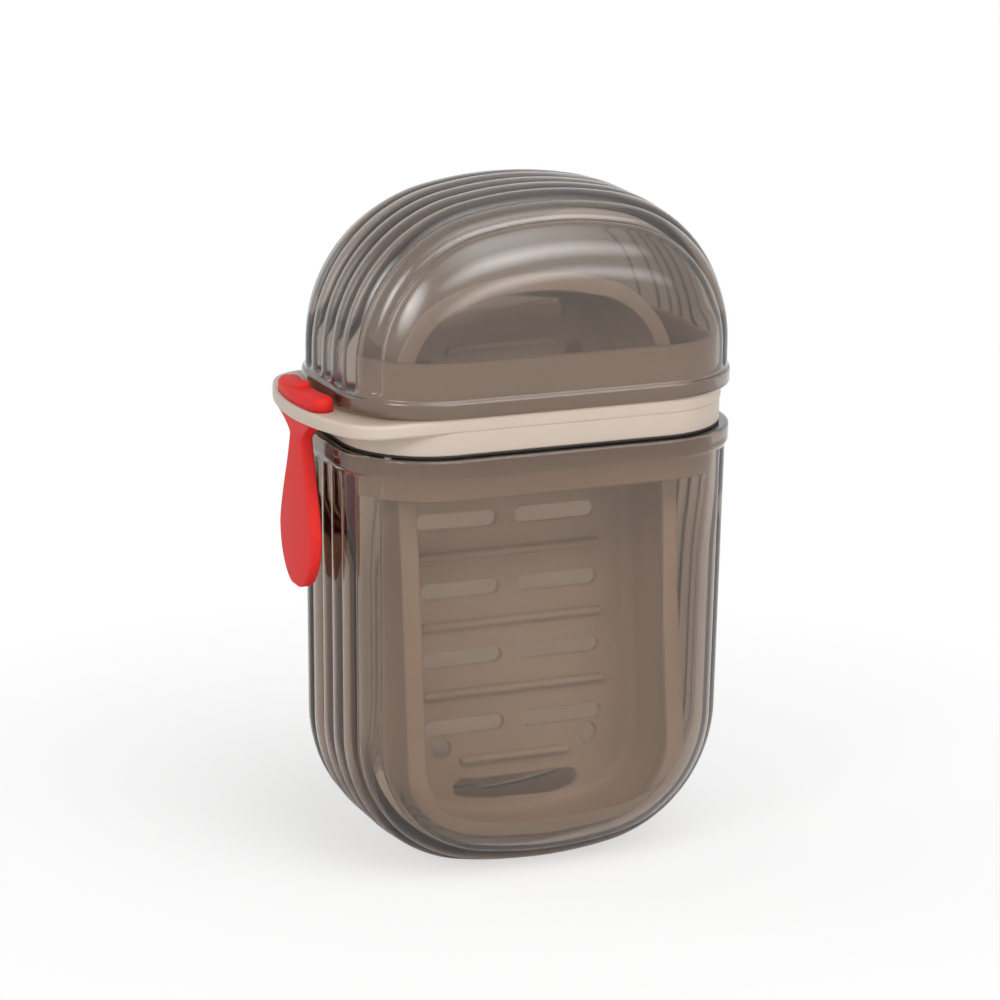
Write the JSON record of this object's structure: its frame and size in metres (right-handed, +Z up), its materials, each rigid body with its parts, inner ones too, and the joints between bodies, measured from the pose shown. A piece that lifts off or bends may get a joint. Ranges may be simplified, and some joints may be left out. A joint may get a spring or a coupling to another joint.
{
  "type": "travel soap box",
  "caption": "Upright travel soap box: smoky clear fluted shells pushed onto a beige collar that carries a leaning drain tray, with a soft red pull strap on the collar's ear.",
  "frame": {"origin": "middle of the flat foot under the lower shell, on the ground", "axes": "+X to the right across the box's width with the strap's ear on -X, -Y out of the tray's open side, +Z up along the box's height"},
  "size_m": [0.0866, 0.05, 0.1322],
  "materials": {
    "smoke_clear": "clear smoky brown, polished",
    "collar_beige": "satin moulded plastic",
    "tray_beige": "satin moulded plastic",
    "strap_red": "matte silicone",
    "gasket_dark": "matte"
  },
  "bodies": {
    "base": {"base_shell": "smoke_clear"},
    "collar": {"collar": "collar_beige", "base_gasket": "gasket_dark", "lid_gasket": "gasket_dark", "drain_tray": "tray_beige", "strap_head": "strap_red"},
    "lid": {"lid_shell": "smoke_clear"},
    "strap": {"strap_tab": "strap_red"}
  },
  "joints": [
    {"name": "collar_slide", "type": "slide", "parent": "base", "child": "collar", "axis": [0, 0, 1], "range_m": [0, 0.085]},
    {"name": "lid_slide", "type": "slide", "parent": "collar", "child": "lid", "axis": [0, 0, 1], "range_m": [0, 0.04]},
    {"name": "strap_swing", "type": "hinge", "parent": "collar", "child": "strap", "pos_m": [-0.0437, 0, 0.08605], "axis": [0, 1, 0], "range_deg": [-5, 90]}
  ]
}
